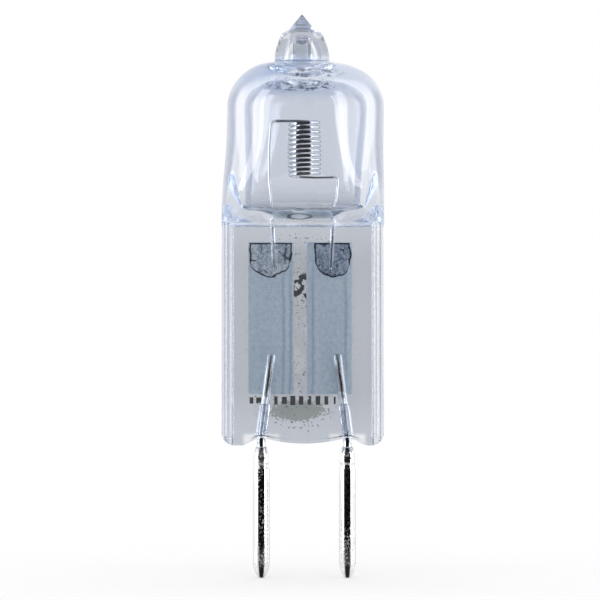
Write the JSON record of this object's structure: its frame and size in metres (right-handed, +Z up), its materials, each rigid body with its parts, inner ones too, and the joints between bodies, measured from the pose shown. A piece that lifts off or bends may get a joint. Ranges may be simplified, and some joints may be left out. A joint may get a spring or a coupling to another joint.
{
  "type": "halogen capsule bulb",
  "caption": "Clear quartz halogen capsule bulb with a coiled filament, a flat pinch seal, sealing foils and straight contact pins.",
  "frame": {"origin": "midway between the ends of the contact pins, at the bulb's lowest level", "axes": "+Z up the bulb from the pins to the exhaust tip, X from one pin to the other, Y through the thin direction of the pinch seal with the filament legs on the -Y face of the foils"},
  "size_m": [0.012, 0.0116, 0.0415],
  "materials": {
    "quartz": "clear and polished",
    "tungsten": "drawn wire",
    "molybdenum_foil": "rolled, fine grain",
    "molybdenum_wire": "drawn wire",
    "nickel_plate": "bright plating"
  },
  "bodies": {
    "root": {"quartz_envelope": "quartz", "filament": "tungsten", "foil_left": "molybdenum_foil", "foil_right": "molybdenum_foil", "lead_wire_left": "molybdenum_wire", "lead_wire_right": "molybdenum_wire", "contact_pin_left": "nickel_plate", "contact_pin_right": "nickel_plate"}
  },
  "joints": []
}
